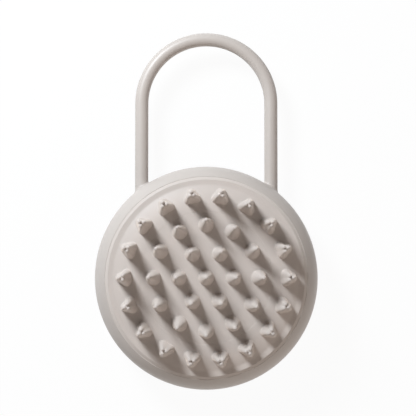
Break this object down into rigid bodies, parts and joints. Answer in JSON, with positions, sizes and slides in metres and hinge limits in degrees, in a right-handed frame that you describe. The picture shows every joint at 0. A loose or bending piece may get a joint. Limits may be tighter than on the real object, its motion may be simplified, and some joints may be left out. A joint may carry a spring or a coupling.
{
  "type": "electric scalp massager",
  "caption": "Round rechargeable scalp massager with a pad of soft fingers, a loop handle, a side button and a vibration motor inside.",
  "frame": {"origin": "centre of the flat back face, on the case's axis", "axes": "+Z along the case's axis, out of the massage pad; +Y towards the handle loop; +X to the right as seen from the pad side with the handle up"},
  "size_m": [0.1, 0.1614, 0.0501],
  "materials": {
    "case_plastic": "moulded plastic with a fine satin texture, warm pale grey",
    "pad_silicone": "soft moulded silicone, satin, the same warm pale grey",
    "seal_rubber": "soft rubber",
    "inner_plastic": "plain moulded plastic",
    "black_plastic": "black moulded plastic",
    "contact_plating": "nickel plate",
    "board_laminate": "green circuit board with solder mask",
    "cell_wrap": "blue shrink wrap over a steel cell",
    "motor_nylon": "natural nylon",
    "bush_bronze": "sintered bronze",
    "winding_copper": "copper",
    "magnet_ferrite": "ferrite",
    "brush_carbon": "carbon on a metal spring arm",
    "lamination_steel": "stacked steel sheets",
    "weight_metal": "dense sintered metal",
    "steel": "zinc-plated steel",
    "lead_red": "flexible insulated lead",
    "lead_black": "flexible insulated lead"
  },
  "bodies": {
    "case": {"front_shell": "case_plastic", "rear_shell": "case_plastic", "case_seal": "seal_rubber", "case_screws": "steel", "screw_plugs": "seal_rubber", "massage_pad": "pad_silicone", "pad_carrier": "inner_plastic", "carrier_screws": "steel", "handle_loop": "case_plastic", "handle_seals": "seal_rubber", "handle_screws": "steel", "button_gasket": "seal_rubber", "tact_switch": "black_plastic", "contact_block": "black_plastic", "charge_contacts": "contact_plating", "control_board": "board_laminate", "board_screws": "steel", "control_chip": "black_plastic", "board_capacitor": "black_plastic", "battery_cell": "cell_wrap", "battery_tabs": "contact_plating", "battery_strap": "inner_plastic", "strap_screws": "steel", "motor_can": "steel", "motor_end_cap": "motor_nylon", "motor_bushes": "bush_bronze", "motor_magnets": "magnet_ferrite", "motor_brushes": "brush_carbon", "motor_clamp": "inner_plastic", "clamp_screws": "steel", "motor_leads": "lead_red", "battery_leads": "lead_black", "charge_leads": "lead_red"},
    "button": {"power_button": "case_plastic", "switch_plunger": "black_plastic"},
    "rotor": {"motor_shaft": "steel", "motor_armature": "lamination_steel", "motor_windings": "winding_copper", "motor_commutator": "winding_copper", "eccentric_weight": "weight_metal"}
  },
  "joints": [
    {"name": "button_press", "type": "slide", "parent": "case", "child": "button", "axis": [-0.342, 0.9397, 0], "range_m": [0, 0.0004], "stiffness_N_per_m": 1500, "springref_m": -0.0004},
    {"name": "motor_spin", "type": "hinge", "parent": "case", "child": "rotor", "pos_m": [0.006, 0.012, 0.01735], "axis": [1, 0, 0], "continuous": true}
  ]
}
